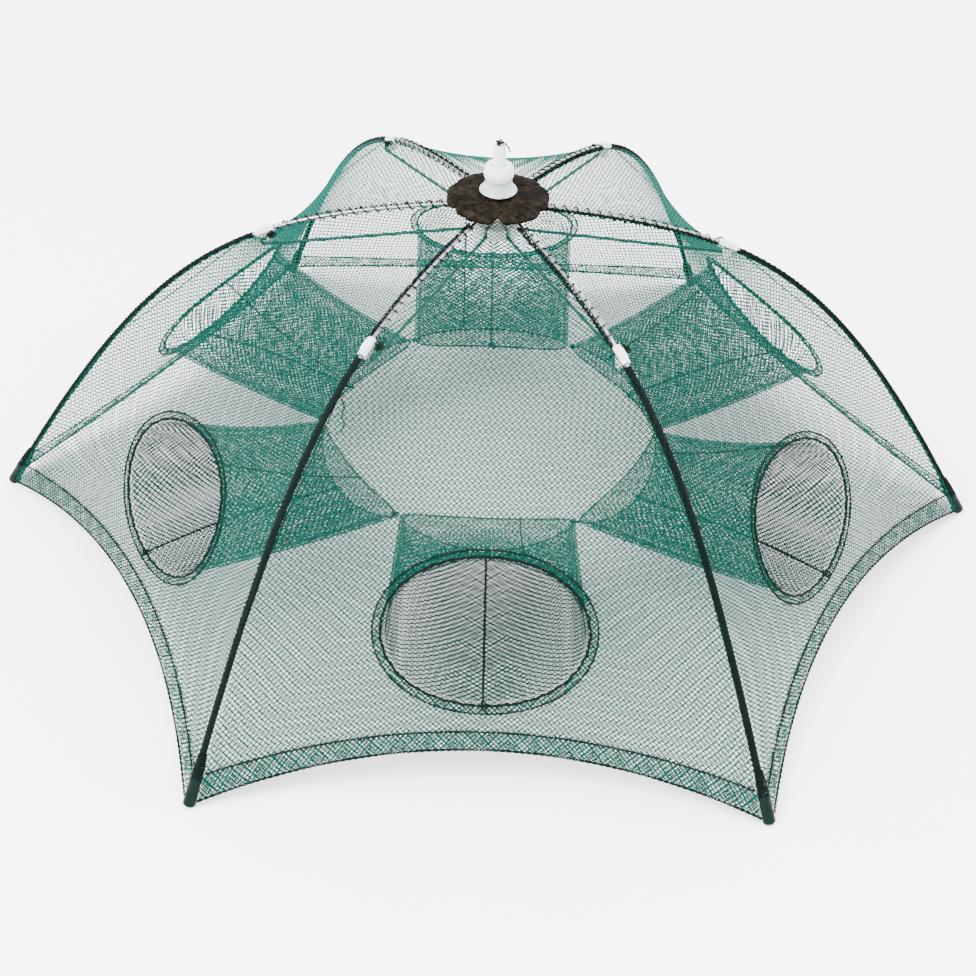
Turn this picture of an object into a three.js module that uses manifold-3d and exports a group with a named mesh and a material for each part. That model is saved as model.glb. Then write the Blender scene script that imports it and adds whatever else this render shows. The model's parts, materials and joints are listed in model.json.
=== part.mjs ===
// Folding crab trap: six bowed wire ribs hinged under a plastic hub, spread by six
// stretchers from a runner that a pull twine lifts, and a mesh cover with six round
// entrances, a funnel behind each, and a flat floor net.
// Millimetres, +Z up. The origin is on the ground under the hub, and rib 1 points along +X.
import * as THREE from 'three'
import { mergeVertices } from 'three/addons/utils/BufferGeometryUtils.js'
import Module from 'manifold-3d'

const wasm = await Module()
wasm.setup()

// Driving dimensions
const ribCount = 6
const tipRadius = 400
const hingeHeight = 281
const hingeRadius = 13
const wireDiameter = 2.8
const shoulderReach = 194
const shoulderDrop = 17
const bowReach = 251
const bowDrop = 33
const edgeGap = 5.3
const fitGap = 0.3
const runningGap = 0.4

const capDiameter = 9
const capLength = 19
const capWall = 2.2
const capChamfer = 1
const capLipHeight = 2.5
const capLipTaper = 1.2
const wireEndHeight = 5

const elbowReach = 174
const elbowPivotDrop = 6.5
const sleeveDiameter = 6.4
const sleeveLength = 15
const sleeveClearance = 0.45
const lugThickness = 5
const stretcherDiameter = 2.4
const stretcherOffset = 4.9
const lugFlare = 1.6
const lugRise = 1

const eyeDiameter = 6.8
const eyeWidth = 3
const hingeWireDiameter = 2
const slotClearance = 0.35
const weldDepth = 0.6

const stemDiameter = 9.4
const stemWall = 1.6
const stemRise = 16
const stemRound = 0.6
const ribHubDiameter = 36
const ribHubHeight = 9.5
const skirtBottomDiameter = 28
const skirtTopDiameter = 21
const skirtHeight = 12
const skirtLip = 1.4
const skirtWaist = 0.55
const collarDiameter = 22.5
const collarHeight = 11.5
const collarTopDiameter = 12.15
const collarRound = 3.45
const collarShoulder = 5.52
const patchDiameter = 77
const patchThickness = 2
const patchDroop = 3
const patchNotch = 5
const notchSharpness = 6
const knotDiameter = 5.6
const knotRise = 2.3
const knotFlatness = 0.8

const runnerDrop = 19
const runnerPivotRadius = 12
const runnerDiameter = 34
const runnerHeight = 9

const netThickness = 1.6
const crownRadius = 25
const panelSag = 14
const lowerSag = 14
const hemPull = 8
const hemLift = 40
const entranceWidth = 144
const entranceHeight = 114
const entrancePlace = 0.84
const rimDiameter = 4

const throatCornerRadius = 138
const throatHeight = 75
const throatOpening = 16
const throatPull = 9
const floorHeight = 7
const floorTipInset = 18
const floorCentreGap = 6.4
const floorSeamDrop = 5

const quarter = Math.PI / 2
const half = Math.PI / ribCount
const step = 2 * half
const up = new THREE.Vector3(0, 0, 1)

// Materials
function plastic(color, roughness) {
  return new THREE.MeshStandardMaterial({ color, roughness, metalness: 0 })
}
const whitePlastic = plastic(0xf1f2f0, 0.35)
const softWhite = plastic(0xe4ebe7, 0.3)
const capPlastic = plastic(0x1d5a4c, 0.5)
const feltBrown = plastic(0x3f352b, 0.95)
const netGreen = plastic(0x2f8f78, 0.8)
const rimGreen = plastic(0x12503f, 0.85)
const funnelGreen = plastic(0x1f6b58, 0.85)
const twineGreen = plastic(0x17463a, 0.85)
const wireSteel = new THREE.MeshStandardMaterial({ color: 0xb8bcbc, roughness: 0.35, metalness: 0.9 })

// Solids
function solidOf(geometry) {
  const bare = geometry.clone()
  bare.deleteAttribute('normal')
  bare.deleteAttribute('uv')
  const merged = mergeVertices(bare, 1e-4)
  const vertProperties = new Float32Array(merged.attributes.position.array)
  const triVerts = new Uint32Array(merged.index.array)
  return new wasm.Manifold(new wasm.Mesh({ numProp: 3, vertProperties, triVerts }))
}

function geometryOf(solid) {
  const mesh = solid.getMesh()
  const geometry = new THREE.BufferGeometry()
  geometry.setAttribute('position', new THREE.BufferAttribute(mesh.vertProperties, 3))
  geometry.setIndex(new THREE.BufferAttribute(mesh.triVerts, 1))
  geometry.computeVertexNormals()
  return geometry
}

function node(name, geometry, material) {
  const mesh = new THREE.Mesh(geometry, material)
  mesh.name = name
  return mesh
}

// A turned piece on the Z axis. The profile is a closed loop of [radius, height] points.
function turned(profile, sides) {
  const loop = [...profile, profile[0]]
  return new THREE.LatheGeometry(loop.map(([r, z]) => new THREE.Vector2(r, z)), sides).rotateX(quarter)
}

// A round bar along a path.
function bar(path, diameter, steps, sides) {
  const section = new THREE.Shape()
  section.absarc(0, 0, diameter / 2, 0, 2 * Math.PI)
  const options = { extrudePath: path, steps, curveSegments: sides / 2, bevelEnabled: false }
  return new THREE.ExtrudeGeometry(section, options)
}

// A flat ring in the XZ plane, centred on the origin, as thick as width along Y.
function eye(outer, inner, width, sides) {
  const inside = inner / 2
  const outside = outer / 2
  const ends = width / 2
  const profile = [[inside, -ends], [outside, -ends], [outside, ends], [inside, ends]]
  return turned(profile, sides).rotateX(quarter)
}

// A thin closed sheet on both sides of a surface point(u, v), u from -1 to 1, v from 0 to 1.
function sheet(point, across, along, thickness) {
  const rows = []
  for (const side of [1, -1]) {
    for (let j = 0; j <= along; j++) {
      for (let i = 0; i <= across; i++) {
        const u = -1 + (2 * i) / across
        const v = j / along
        const off = surfaceNormal(point, u, v).multiplyScalar((side * thickness) / 2)
        rows.push(point(u, v).add(off))
      }
    }
  }
  const layer = (across + 1) * (along + 1)
  const at = (side, i, j) => side * layer + j * (across + 1) + i
  const faces = []
  const quad = (a, b, c, d) => faces.push(a, b, c, a, c, d)
  for (let j = 0; j < along; j++) {
    for (let i = 0; i < across; i++) {
      quad(at(0, i, j), at(0, i + 1, j), at(0, i + 1, j + 1), at(0, i, j + 1))
      quad(at(1, i, j), at(1, i, j + 1), at(1, i + 1, j + 1), at(1, i + 1, j))
    }
    quad(at(0, 0, j), at(0, 0, j + 1), at(1, 0, j + 1), at(1, 0, j))
    quad(at(0, across, j + 1), at(0, across, j), at(1, across, j), at(1, across, j + 1))
  }
  for (let i = 0; i < across; i++) {
    quad(at(0, i + 1, 0), at(0, i, 0), at(1, i, 0), at(1, i + 1, 0))
    quad(at(0, i, along), at(0, i + 1, along), at(1, i + 1, along), at(1, i, along))
  }
  return meshed(rows, faces)
}

function surfaceNormal(point, u, v) {
  const d = 1e-3
  const du = point(u + d, v).sub(point(u - d, v))
  const dv = point(u, Math.min(v + d, 1)).sub(point(u, Math.max(v - d, 0)))
  return du.cross(dv).normalize()
}

function meshed(points, faces) {
  const geometry = new THREE.BufferGeometry().setFromPoints(points)
  geometry.setIndex(faces)
  geometry.computeVertexNormals()
  return geometry
}

// A closed tube wall between an outer and an inner skin, both given by point(angle, w).
function tubeWall(outer, inner, around, along) {
  const points = []
  for (const skin of [outer, inner]) {
    for (let j = 0; j <= along; j++) {
      for (let i = 0; i < around; i++) {
        points.push(skin((2 * Math.PI * i) / around, j / along))
      }
    }
  }
  const layer = around * (along + 1)
  const at = (side, i, j) => side * layer + j * around + (i % around)
  const faces = []
  const quad = (a, b, c, d) => faces.push(a, b, c, a, c, d)
  for (let i = 0; i < around; i++) {
    for (let j = 0; j < along; j++) {
      quad(at(0, i, j), at(0, i + 1, j), at(0, i + 1, j + 1), at(0, i, j + 1))
      quad(at(1, i, j), at(1, i, j + 1), at(1, i + 1, j + 1), at(1, i + 1, j))
    }
    quad(at(0, i + 1, 0), at(0, i, 0), at(1, i, 0), at(1, i + 1, 0))
    quad(at(0, i, along), at(0, i + 1, along), at(1, i + 1, along), at(1, i, along))
  }
  return meshed(points, faces)
}

// The rib's bow, in the XZ plane of its own rib
const tipDirection = new THREE.Vector3(tipRadius - bowReach, 0, bowDrop - hingeHeight).normalize()
const wireEnd = new THREE.Vector3(tipRadius, 0, 0).addScaledVector(
  tipDirection, wireEndHeight / tipDirection.z)
const ribBow = new THREE.CubicBezierCurve3(
  new THREE.Vector3(hingeRadius, 0, hingeHeight),
  new THREE.Vector3(shoulderReach, 0, hingeHeight - shoulderDrop),
  new THREE.Vector3(bowReach, 0, hingeHeight - bowDrop),
  wireEnd)

// The place on the bow at a given distance from the axis
function bowAtRadius(radius) {
  let low = 0
  let high = 1
  for (let i = 0; i < 40; i++) {
    const middle = (low + high) / 2
    if (ribBow.getPoint(middle).x < radius) low = middle
    else high = middle
  }
  return low
}

const elbowPlace = bowAtRadius(elbowReach)
const elbowOnRib = ribBow.getPoint(elbowPlace)
const elbowSlope = ribBow.getTangent(elbowPlace)
const elbowPivot = elbowOnRib.clone().add(new THREE.Vector3(0, 0, -elbowPivotDrop))
const runnerPivot = new THREE.Vector3(runnerPivotRadius, 0, hingeHeight - runnerDrop)

// The cover between two ribs, in a frame whose X axis is the panel's middle
const crownPlace = bowAtRadius(crownRadius)

function panelPoint(u, v) {
  const place = crownPlace + (1 - crownPlace) * v
  const rib = ribBow.getPoint(place)
  const slope = ribBow.getTangent(place)
  const edgeX = rib.x * Math.cos(half) + edgeGap * Math.sin(half)
  const edgeY = rib.x * Math.sin(half) - edgeGap * Math.cos(half)
  const sag = panelSag * (1 - (1 - place) ** 3) + lowerSag * place ** 2
  const bend = 1 - u * u
  const pulled = sag * -slope.z + hemPull * place ** 8
  const dropped = sag * slope.x - hemLift * place ** 8
  return new THREE.Vector3(edgeX - pulled * bend, u * edgeY, rib.z - dropped * bend)
}

// A ring on the cover round the entrance, grow wider than the rim's centre line
function entrancePoint(angle, grow) {
  const d = 1e-3
  const rise = panelPoint(0, entrancePlace + d).distanceTo(panelPoint(0, entrancePlace - d)) / (2 * d)
  const v = entrancePlace - ((entranceHeight / 2 + grow) * Math.sin(angle)) / rise
  const side = (entranceWidth / 2 + grow) * Math.cos(angle)
  return panelPoint(side / panelPoint(1, v).y, v)
}

function canopyPanel() {
  const cloth = solidOf(sheet(panelPoint, 8, 8, netThickness))
  const centre = panelPoint(0, entrancePlace)
  const outward = surfaceNormal(panelPoint, 0, entrancePlace)
  const turn = new THREE.Quaternion().setFromUnitVectors(up, outward)
  const flatten = turn.clone().invert()
  const outline = []
  const steps = 24
  for (let i = 0; i < steps; i++) {
    const point = entrancePoint((2 * Math.PI * i) / steps, rimDiameter / 2 + 2 * fitGap)
    const local = point.sub(centre).applyQuaternion(flatten)
    outline.push(new THREE.Vector2(local.x, local.y))
  }
  const depth = entranceWidth / 2
  const cutter = new THREE.ExtrudeGeometry(new THREE.Shape(outline), { depth, bevelEnabled: false })
  cutter.translate(0, 0, -depth / 2).applyQuaternion(turn).translate(centre.x, centre.y, centre.z)
  return geometryOf(cloth.subtract(solidOf(cutter)))
}

function entranceRim() {
  const around = 24
  const thick = rimDiameter / 2
  const skin = (angle, w) => {
    const turnAngle = 2 * Math.PI * w
    const out = surfaceNormal(panelPoint, 0, entrancePlace)
    const ring = entrancePoint(angle, thick * Math.cos(turnAngle))
    return ring.addScaledVector(out, thick * Math.sin(turnAngle))
  }
  const sides = 5
  const points = []
  for (let j = 0; j < sides; j++) {
    for (let i = 0; i < around; i++) points.push(skin((2 * Math.PI * i) / around, j / sides))
  }
  const at = (i, j) => (j % sides) * around + (i % around)
  const faces = []
  for (let j = 0; j < sides; j++) {
    for (let i = 0; i < around; i++) {
      faces.push(at(i, j), at(i + 1, j + 1), at(i + 1, j))
      faces.push(at(i, j), at(i, j + 1), at(i + 1, j + 1))
    }
  }
  return meshed(points, faces)
}

// The funnel: round at the rim, a flat lens at its inner end, held apart from its neighbours
function funnelPoint(angle, w, grow) {
  const inset = rimDiameter / 2 + fitGap + netThickness
  const start = entrancePoint(angle, grow - inset - fitGap)
  const cornerX = throatCornerRadius * Math.cos(half)
  const halfWidth = throatCornerRadius * Math.sin(half) - 2 * netThickness
  const lift = (throatOpening / 2 + grow) * Math.sin(angle)
  const belly = Math.sin(angle) ** 2
  const end = new THREE.Vector3(
    cornerX + throatPull * belly * (Math.sin(angle) < 0 ? 2 : 1),
    (halfWidth + grow) * Math.cos(angle),
    throatHeight + lift)
  return start.lerp(end, w)
}

function funnel() {
  const outer = (angle, w) => funnelPoint(-angle, w, netThickness / 2)
  const inner = (angle, w) => funnelPoint(-angle, w, -netThickness / 2)
  return tubeWall(outer, inner, 18, 3)
}

// The floor net's sector under one rib, in that rib's frame: a kite from the axis to the tip,
// whose outer edges follow the hems of the two covers beside it
function floorSector() {
  const hemSteps = 4
  const hem = []
  for (let i = 1; i <= hemSteps; i++) {
    const point = panelPoint(i / hemSteps - 1, 1).applyAxisAngle(up, half)
    hem.push(new THREE.Vector3(point.x - netThickness, point.y - netThickness, point.z - floorSeamDrop))
  }
  const mirrored = hem.map((p) => new THREE.Vector3(p.x, -p.y, p.z)).reverse()
  const inner = new THREE.Vector3(floorCentreGap, 0, floorHeight)
  const tip = new THREE.Vector3(tipRadius - floorTipInset, 0, floorHeight)
  const outline = [inner, ...mirrored, tip, ...hem]
  const middle = new THREE.Vector3(hem[hemSteps - 1].x, 0, floorHeight)
  const lower = [...outline, middle]
  const upper = lower.map((p) => p.clone().addScaledVector(up, netThickness))
  const count = lower.length
  const hub = count - 1
  const faces = []
  for (let i = 0; i < hub; i++) {
    const next = (i + 1) % hub
    faces.push(hub, next, i)
    faces.push(count + hub, count + i, count + next)
    faces.push(i, next, count + next)
    faces.push(i, count + next, count + i)
  }
  return meshed([...lower, ...upper], faces)
}

// The rib: bowed wire with an eye at the hub end
function ribWire() {
  const eyeRing = solidOf(eye(eyeDiameter, hingeWireDiameter + 2 * runningGap, eyeWidth, 12)
    .translate(hingeRadius, 0, hingeHeight))
  const start = bowAtRadius(hingeRadius + eyeDiameter / 2 - weldDepth)
  const points = []
  const count = 24
  for (let i = 0; i <= count; i++) points.push(ribBow.getPoint(start + ((1 - start) * i) / count))
  const wire = solidOf(bar(new THREE.CatmullRomCurve3(points), wireDiameter, count, 6))
  return geometryOf(eyeRing.add(wire))
}

// The tip cap: blind on the wire's end, with its sole cut flat where it meets the ground
function tipCap() {
  const inside = wireDiameter / 2 + sleeveClearance
  const outside = capDiameter / 2
  const sole = -wireEndHeight / Math.abs(tipDirection.z) - capWall
  const mouth = sole + capLength
  const profile = [
    [0, sole], [outside - capChamfer, sole], [outside, sole + capChamfer],
    [outside, mouth - capLipHeight], [outside - capLipTaper, mouth], [inside, mouth],
    [inside, -fitGap], [0, -fitGap]
  ]
  const turn = new THREE.Quaternion().setFromUnitVectors(up, tipDirection.clone().negate())
  const cap = turned(profile, 12).applyQuaternion(turn).translate(wireEnd.x, 0, wireEnd.z)
  const ground = new THREE.BoxGeometry(4 * capLength, 4 * capLength, capLength)
  ground.translate(wireEnd.x, 0, -capLength / 2)
  return geometryOf(solidOf(cap).subtract(solidOf(ground)))
}

// The elbow clip: a sleeve on the rib with a lug below it
function elbowClip() {
  const inside = wireDiameter / 2 + sleeveClearance
  const outside = sleeveDiameter / 2
  const turn = new THREE.Quaternion().setFromUnitVectors(up, elbowSlope)
  const sleeve = new THREE.CylinderGeometry(outside, outside, sleeveLength, 12).rotateX(quarter)
  sleeve.applyQuaternion(turn).translate(elbowOnRib.x, 0, elbowOnRib.z)
  const lug = new THREE.Shape()
  const width = outside
  lug.moveTo(-lugFlare * width, outside + lugRise)
  lug.lineTo(-width, -elbowPivotDrop)
  lug.absarc(0, -elbowPivotDrop, width, Math.PI, 2 * Math.PI)
  lug.lineTo(lugFlare * width, outside + lugRise)
  const plate = new THREE.ExtrudeGeometry(lug, { depth: lugThickness, curveSegments: 4, bevelEnabled: false })
  plate.translate(0, 0, -lugThickness / 2).rotateX(quarter).translate(elbowOnRib.x, 0, elbowOnRib.z)
  const bore = new THREE.CylinderGeometry(inside, inside, 2 * sleeveLength, 12).rotateX(quarter)
  bore.applyQuaternion(turn).translate(elbowOnRib.x, 0, elbowOnRib.z)
  return geometryOf(solidOf(sleeve).add(solidOf(plate)).subtract(solidOf(bore)).subtract(aboveRib()))
}

// Keeps the lug below the rib's top, so that it doesn't reach through the cover
function aboveRib() {
  const block = new THREE.BoxGeometry(6 * sleeveDiameter, 6 * sleeveDiameter, sleeveDiameter)
  const angle = Math.atan2(-elbowSlope.z, elbowSlope.x)
  block.translate(0, 0, sleeveDiameter).rotateY(angle).translate(elbowOnRib.x, 0, elbowOnRib.z)
  return solidOf(block)
}

// The stretcher: straight wire with an eye at each end, set to one side of the rib at the elbow
function stretcher() {
  const innerEye = eye(eyeDiameter, hingeWireDiameter + 2 * runningGap, eyeWidth, 12)
  innerEye.translate(runnerPivot.x, 0, runnerPivot.z)
  const outerEye = eye(eyeDiameter, hingeWireDiameter + 2 * runningGap, stretcherDiameter, 12)
  outerEye.translate(elbowPivot.x, stretcherOffset, elbowPivot.z)
  const from = runnerPivot.clone()
  const to = elbowPivot.clone().add(new THREE.Vector3(0, stretcherOffset, 0))
  const along = to.clone().sub(from).normalize()
  from.addScaledVector(along, eyeDiameter / 2 - weldDepth)
  to.addScaledVector(along, weldDepth - eyeDiameter / 2)
  const wire = solidOf(bar(new THREE.LineCurve3(from, to), stretcherDiameter, 1, 8))
  return geometryOf(solidOf(innerEye).add(wire).add(solidOf(outerEye)))
}

// Hub
const skirtBottom = hingeHeight + ribHubHeight / 2 + patchThickness + 3 * fitGap
const skirtTop = skirtBottom + skirtHeight
const collarBottom = skirtTop + fitGap
const collarTop = collarBottom + collarHeight
const stemTop = collarTop + stemRise
const stemBore = stemDiameter / 2 + runningGap
const runnerTop = runnerPivot.z + runnerHeight / 2
const stemBottom = runnerTop + fitGap

function hubSkirt() {
  const bottom = skirtBottomDiameter / 2
  const top = skirtTopDiameter / 2
  return turned([
    [stemBore, skirtBottom], [bottom, skirtBottom], [bottom, skirtBottom + skirtLip],
    [(bottom + 2 * top) / 3, skirtBottom + skirtHeight * skirtWaist], [top, skirtTop], [stemBore, skirtTop]
  ], 32)
}

function hubCollar() {
  const outside = collarDiameter / 2
  const round = collarRound
  return turned([
    [stemBore, collarBottom], [outside - round / 2, collarBottom], [outside, collarBottom + round],
    [outside, collarTop - collarShoulder], [outside - round / 2, collarTop - round / 2],
    [collarTopDiameter / 2, collarTop], [stemBore, collarTop]
  ], 32)
}

// A disc with a slot for each wire eye and a round groove for the wire that threads them
function slottedRing(outer, height, pivotRadius, centre, opensUp) {
  const ends = height / 2
  const profile = [[stemBore, -ends], [outer / 2, -ends], [outer / 2, ends], [stemBore, ends]]
  let ring = solidOf(turned(profile, 30))
  const reach = outer
  const slotWidth = eyeWidth + 2 * slotClearance
  const back = pivotRadius - eyeDiameter / 2 - slotClearance
  const roof = eyeDiameter / 2 + slotClearance
  for (let i = 0; i < ribCount; i++) {
    const slot = new THREE.BoxGeometry(reach, slotWidth, roof + height)
    const middle = opensUp ? (height - roof) / 2 : (roof - height) / 2
    slot.translate(back + reach / 2, 0, middle).rotateZ(i * step)
    ring = ring.subtract(solidOf(slot))
  }
  const groove = new THREE.TorusGeometry(pivotRadius, hingeWireDiameter / 2 + fitGap, 6, 36)
  return geometryOf(ring.subtract(solidOf(groove))).translate(0, 0, centre)
}

function hingeWire(radius, centre) {
  return new THREE.TorusGeometry(radius, hingeWireDiameter / 2, 6, 36).translate(0, 0, centre)
}

// The felt patch: a soft disc with a notch between ribs, drooping toward its edge
function feltPatch() {
  const around = 36
  const rings = 3
  const inside = stemBore
  const underside = hingeHeight + ribHubHeight / 2 + 2 * fitGap
  const edge = (angle) => {
    const notch = Math.max(0, Math.cos(ribCount * angle + Math.PI)) ** notchSharpness
    return patchDiameter / 2 - patchNotch * notch
  }
  const skin = (angle, w, lift) => {
    const radius = inside + (edge(angle) - inside) * w
    const flat = Math.max(0, radius - ribHubDiameter / 2) / (patchDiameter / 2 - ribHubDiameter / 2)
    const height = underside + lift - patchDroop * flat ** 2
    return new THREE.Vector3(radius * Math.cos(angle), radius * Math.sin(angle), height)
  }
  const upper = (angle, w) => skin(angle, w, patchThickness)
  const lower = (angle, w) => skin(angle, w, 0)
  return tubeWall(lower, upper, around, rings)
}

function stem() {
  const outside = stemDiameter / 2
  const inside = outside - stemWall
  return turned([
    [inside, stemBottom], [outside, stemBottom], [outside, stemTop - stemRound],
    [outside - stemRound, stemTop], [inside, stemTop]
  ], 24)
}

// The knot in the pull twine, a squat bead in the middle of the stem's mouth, clear of its rim
function pullKnot() {
  const bead = new THREE.SphereGeometry(knotDiameter / 2, 12, 8)
  bead.scale(1, 1, knotFlatness).translate(0, 0, stemTop + knotRise)
  return bead
}

const trap = new THREE.Group()
trap.add(node('hub_skirt', hubSkirt(), softWhite))
trap.add(node('hub_collar', hubCollar(), whitePlastic))
trap.add(node('rib_hub', slottedRing(ribHubDiameter, ribHubHeight, hingeRadius, hingeHeight, false),
  whitePlastic))
trap.add(node('rib_hinge_wire', hingeWire(hingeRadius, hingeHeight), wireSteel))
trap.add(node('felt_patch', feltPatch(), feltBrown))
trap.add(node('lift_stem', stem(), whitePlastic))
trap.add(node('runner', slottedRing(runnerDiameter, runnerHeight, runnerPivotRadius, runnerPivot.z, true),
  whitePlastic))
trap.add(node('runner_hinge_wire', hingeWire(runnerPivotRadius, runnerPivot.z), wireSteel))
trap.add(node('pull_knot', pullKnot(), twineGreen))

for (let i = 0; i < ribCount; i++) {
  const number = i + 1
  const arm = new THREE.Group()
  arm.rotation.z = i * step
  arm.add(node(`rib_${number}`, ribWire(), wireSteel))
  arm.add(node(`tip_cap_${number}`, tipCap(), capPlastic))
  arm.add(node(`elbow_clip_${number}`, elbowClip(), whitePlastic))
  arm.add(node(`stretcher_${number}`, stretcher(), wireSteel))
  arm.add(node(`floor_net_${number}`, floorSector(), netGreen))
  trap.add(arm)
  const bay = new THREE.Group()
  bay.rotation.z = (i + 0.5) * step
  bay.add(node(`canopy_panel_${number}`, canopyPanel(), netGreen))
  bay.add(node(`entrance_rim_${number}`, entranceRim(), rimGreen))
  bay.add(node(`funnel_${number}`, funnel(), funnelGreen))
  trap.add(bay)
}

export default trap
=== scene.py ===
# %% [markdown]
# # Folding crab trap
# Six bowed wire ribs are hinged under a plastic hub and spread by six stretchers, as in an
# umbrella. A fine green net covers them, with a round entrance and a funnel in each bay and
# a flat net as its floor. The fixed frame is loaded first. Every piece made here has to
# stay inside it.

# %% Load the fixed frame
import json
import math

import bmesh
import bpy
import numpy as np
from mathutils import Matrix, Quaternion, Vector, noise

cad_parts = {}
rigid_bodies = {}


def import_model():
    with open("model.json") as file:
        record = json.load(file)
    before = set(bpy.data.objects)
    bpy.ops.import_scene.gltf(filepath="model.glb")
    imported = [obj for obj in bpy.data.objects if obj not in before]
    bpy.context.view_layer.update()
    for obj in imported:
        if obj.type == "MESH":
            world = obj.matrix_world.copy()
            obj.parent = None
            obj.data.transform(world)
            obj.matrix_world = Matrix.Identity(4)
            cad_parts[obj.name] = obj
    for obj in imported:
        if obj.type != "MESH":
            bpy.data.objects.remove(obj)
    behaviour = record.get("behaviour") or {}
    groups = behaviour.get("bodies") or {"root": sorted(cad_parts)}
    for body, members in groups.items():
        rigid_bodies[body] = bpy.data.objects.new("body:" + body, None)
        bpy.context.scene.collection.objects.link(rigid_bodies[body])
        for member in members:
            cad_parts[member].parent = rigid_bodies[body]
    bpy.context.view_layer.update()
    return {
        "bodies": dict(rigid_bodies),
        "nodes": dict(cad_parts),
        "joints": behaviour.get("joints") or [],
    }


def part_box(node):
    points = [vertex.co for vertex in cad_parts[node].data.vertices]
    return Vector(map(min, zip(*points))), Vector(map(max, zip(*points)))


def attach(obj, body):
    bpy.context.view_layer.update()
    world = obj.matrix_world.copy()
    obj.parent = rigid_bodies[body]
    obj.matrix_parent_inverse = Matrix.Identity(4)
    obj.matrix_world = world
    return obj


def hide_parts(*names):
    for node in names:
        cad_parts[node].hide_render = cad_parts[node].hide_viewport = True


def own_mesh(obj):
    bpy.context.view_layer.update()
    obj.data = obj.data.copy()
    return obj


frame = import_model()
joints = {joint["name"]: joint for joint in frame["joints"]}

# %% [markdown]
# The camera comes first, so that each piece is judged from where it is seen. It stands a
# little above the trap and looks at the ground under the hub, with a slight tilt to one
# side. A long lens keeps the six bays in proportion.

# %% Camera
distance = 1.4344
elevation = math.radians(39.33)
azimuth = math.radians(-0.508)
roll = math.radians(2.138)
camera = bpy.data.objects.new("camera", bpy.data.cameras.new("camera"))
bpy.context.scene.collection.objects.link(camera)
back = Vector((
    math.sin(azimuth) * math.cos(elevation),
    -math.cos(azimuth) * math.cos(elevation),
    math.sin(elevation)))
camera.location = back * distance
camera.rotation_mode = "QUATERNION"
camera.rotation_quaternion = (-back).to_track_quat("-Z", "Y") @ Quaternion((0, 0, 1), roll)
camera.data.lens = 62.57
camera.data.shift_x = 0.0012
camera.data.shift_y = 0.0079
bpy.context.scene.camera = camera
print("camera at", [round(x, 3) for x in camera.location])

# %% [markdown]
# ## Sizes
# The frame gives the hinges. The bow of a rib is one cubic curve from its hinge to its tip,
# and the whole cover hangs on that bow, so it is written once, as a function of the place
# along the rib, from 0 at the hinge to 1 at the tip.

# %% Driving sizes, in metres
rib_count = sum(name.startswith("rib_arm_") for name in frame["bodies"])
step = 2 * math.pi / rib_count
half = step / 2
hinge_radius, _, hinge_height = joints["rib_1_hinge"]["pos_m"]
runner_radius, _, runner_height = joints["stretcher_1_hinge"]["pos_m"]
floor_fold = joints["floor_1_fold"]["pos_m"][0]
tip_radius = 0.400
wire_end_height = 0.005
wire_diameter = 0.0028
stretcher_diameter = 0.0024
elbow_reach = 0.174
elbow_pivot_drop = 0.0065
stretcher_offset = 0.0049
cap_mouth = 0.0185

# %% The bow of a rib
rib_start = np.array([hinge_radius, hinge_height])
rib_shoulder = np.array([0.194, hinge_height - 0.017])
rib_bow = np.array([0.251, hinge_height - 0.033])
tip_fall = np.array([tip_radius, 0.0]) - rib_bow
wire_end = np.array([tip_radius, 0.0]) + tip_fall * (wire_end_height / tip_fall[1])


def rib_point(place):
    """Distance from the axis and height of the rib's middle, one row for each place."""
    t = np.asarray(place, float)[..., None]
    s = 1 - t
    return s**3 * rib_start + 3 * s * s * t * rib_shoulder + 3 * s * t * t * rib_bow + t**3 * wire_end


def rib_slope(place):
    """The rib's direction there, a unit vector."""
    t = np.asarray(place, float)[..., None]
    s = 1 - t
    slope = s * s * (rib_shoulder - rib_start) + 2 * s * t * (rib_bow - rib_shoulder)
    slope = slope + t * t * (wire_end - rib_bow)
    return slope / np.linalg.norm(slope, axis=-1, keepdims=True)


def distances(path):
    """How far along a path each of its points lies."""
    return np.concatenate([[0], np.cumsum(np.linalg.norm(np.diff(path, axis=0), axis=1))])


rib_places = np.linspace(0, 1, 401)
rib_radii = rib_point(rib_places)[:, 0]
rib_lengths = distances(rib_point(rib_places))
rib_length = rib_lengths[-1]


def place_at_radius(radius):
    return float(np.interp(radius, rib_radii, rib_places))


def place_at_length(length):
    return np.interp(length, rib_lengths, rib_places)


elbow_place = place_at_radius(elbow_reach)
elbow_length = float(np.interp(elbow_place, rib_places, rib_lengths))
print("rib length", round(rib_length, 3), "elbow at", round(elbow_length, 3))

# %% [markdown]
# ## The cover's surface
# Between two ribs the net is pulled tight, so it bows inward a little, and its hem is drawn
# up into an arch. The surface is a function of u, across the bay from rib to rib, and v,
# down the rib. Its flat cut is laid out with true lengths, so that the mesh keeps its size
# everywhere, as knotless netting does.

# %% The cover between two ribs, in a frame whose X axis runs down the bay's middle
crown_place = place_at_radius(0.025)
seam_gap = 0.0026
tip_gap = 0.0053
gap_growth = 12
panel_sag = 0.014
lower_sag = 0.014
hem_pull = 0.008
hem_lift = 0.040
hem_growth = 8


def cover(u, v):
    place = crown_place + (1 - crown_place) * v
    rib = rib_point(place)
    slope = rib_slope(place)
    gap = seam_gap + (tip_gap - seam_gap) * place**gap_growth
    edge_x = rib[..., 0] * math.cos(half) + gap * math.sin(half)
    edge_y = rib[..., 0] * math.sin(half) - gap * math.cos(half)
    sag = panel_sag * (1 - (1 - place) ** 3) + lower_sag * place**2
    bend = 1 - u * u
    pulled = sag * -slope[..., 1] + hem_pull * place**hem_growth
    dropped = sag * slope[..., 0] - hem_lift * place**hem_growth
    return np.stack([edge_x - pulled * bend, u * edge_y, rib[..., 1] - dropped * bend], axis=-1)


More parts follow.
